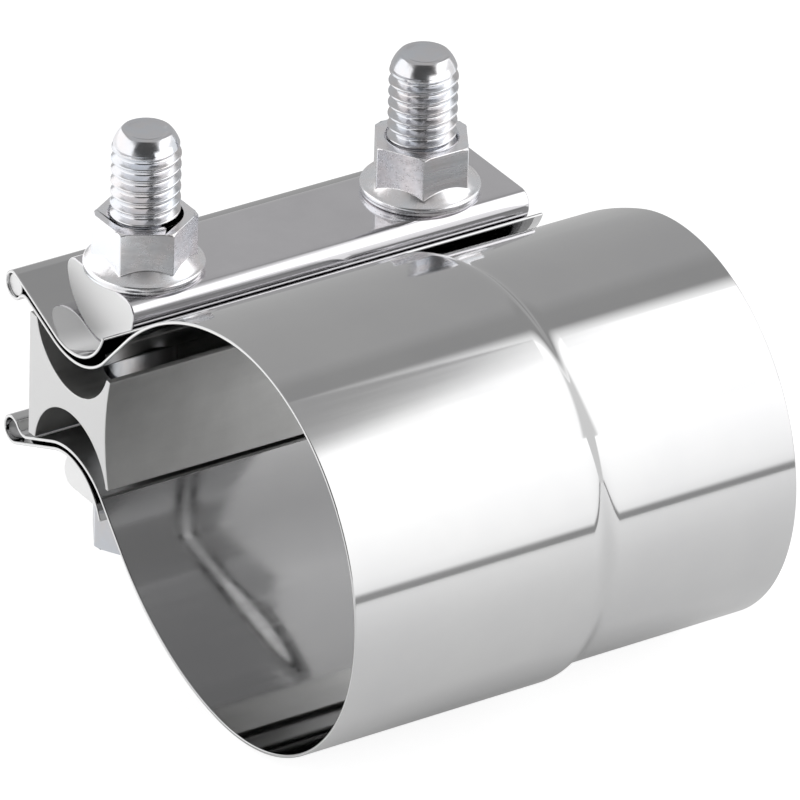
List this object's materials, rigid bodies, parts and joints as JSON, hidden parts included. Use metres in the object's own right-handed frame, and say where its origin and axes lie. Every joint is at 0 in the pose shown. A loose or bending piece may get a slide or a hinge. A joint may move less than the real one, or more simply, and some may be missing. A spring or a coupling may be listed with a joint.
{
  "type": "exhaust pipe clamp",
  "caption": "Stepped band clamp that joins two exhaust pipes of different diameter, its folded ears drawn together by through bolts over a hollow-sided block.",
  "frame": {"origin": "centre of the front rim, on the pipes' axis", "axes": "+Y along the pipes' axis from the larger front socket to the smaller rear one, +Z along the bolts from heads to tips, -X towards the bolts"},
  "size_m": [0.0929, 0.0734, 0.0714],
  "materials": {
    "polished_steel": "mirror-polished stainless steel",
    "wire_steel": "bright drawn wire, sheared ends",
    "block_metal": "smooth extruded, sawn ends",
    "zinc_plated_steel": "bright bluish zinc plating"
  },
  "bodies": {
    "clamp": {"band": "polished_steel", "upper_rod": "wire_steel", "lower_rod": "wire_steel", "upper_saddle_bar": "polished_steel", "lower_saddle_bar": "polished_steel", "reaction_block": "block_metal"},
    "front_bolt": {"front_bolt": "zinc_plated_steel"},
    "rear_bolt": {"rear_bolt": "zinc_plated_steel"},
    "front_nut": {"front_nut": "zinc_plated_steel"},
    "rear_nut": {"rear_nut": "zinc_plated_steel"}
  },
  "joints": [
    {"name": "front_bolt_turn", "type": "hinge", "parent": "clamp", "child": "front_bolt", "pos_m": [-0.0447, 0.0123, 0], "axis": [0, 0, -1], "range_deg": [0, 3240]},
    {"name": "front_nut_travel", "type": "slide", "parent": "clamp", "child": "front_nut", "axis": [0, 0, 1], "range_m": [0, 0.01351]},
    {"name": "rear_bolt_turn", "type": "hinge", "parent": "clamp", "child": "rear_bolt", "pos_m": [-0.0447, 0.0583, 0], "axis": [0, 0, -1], "range_deg": [0, 3240]},
    {"name": "rear_nut_travel", "type": "slide", "parent": "clamp", "child": "rear_nut", "axis": [0, 0, 1], "range_m": [0, 0.01351]}
  ],
  "couplings": [
    {"joint": "front_nut_travel", "follows": "front_bolt_turn", "m_per_rad": 0.00023873},
    {"joint": "rear_nut_travel", "follows": "rear_bolt_turn", "m_per_rad": 0.00023873}
  ]
}
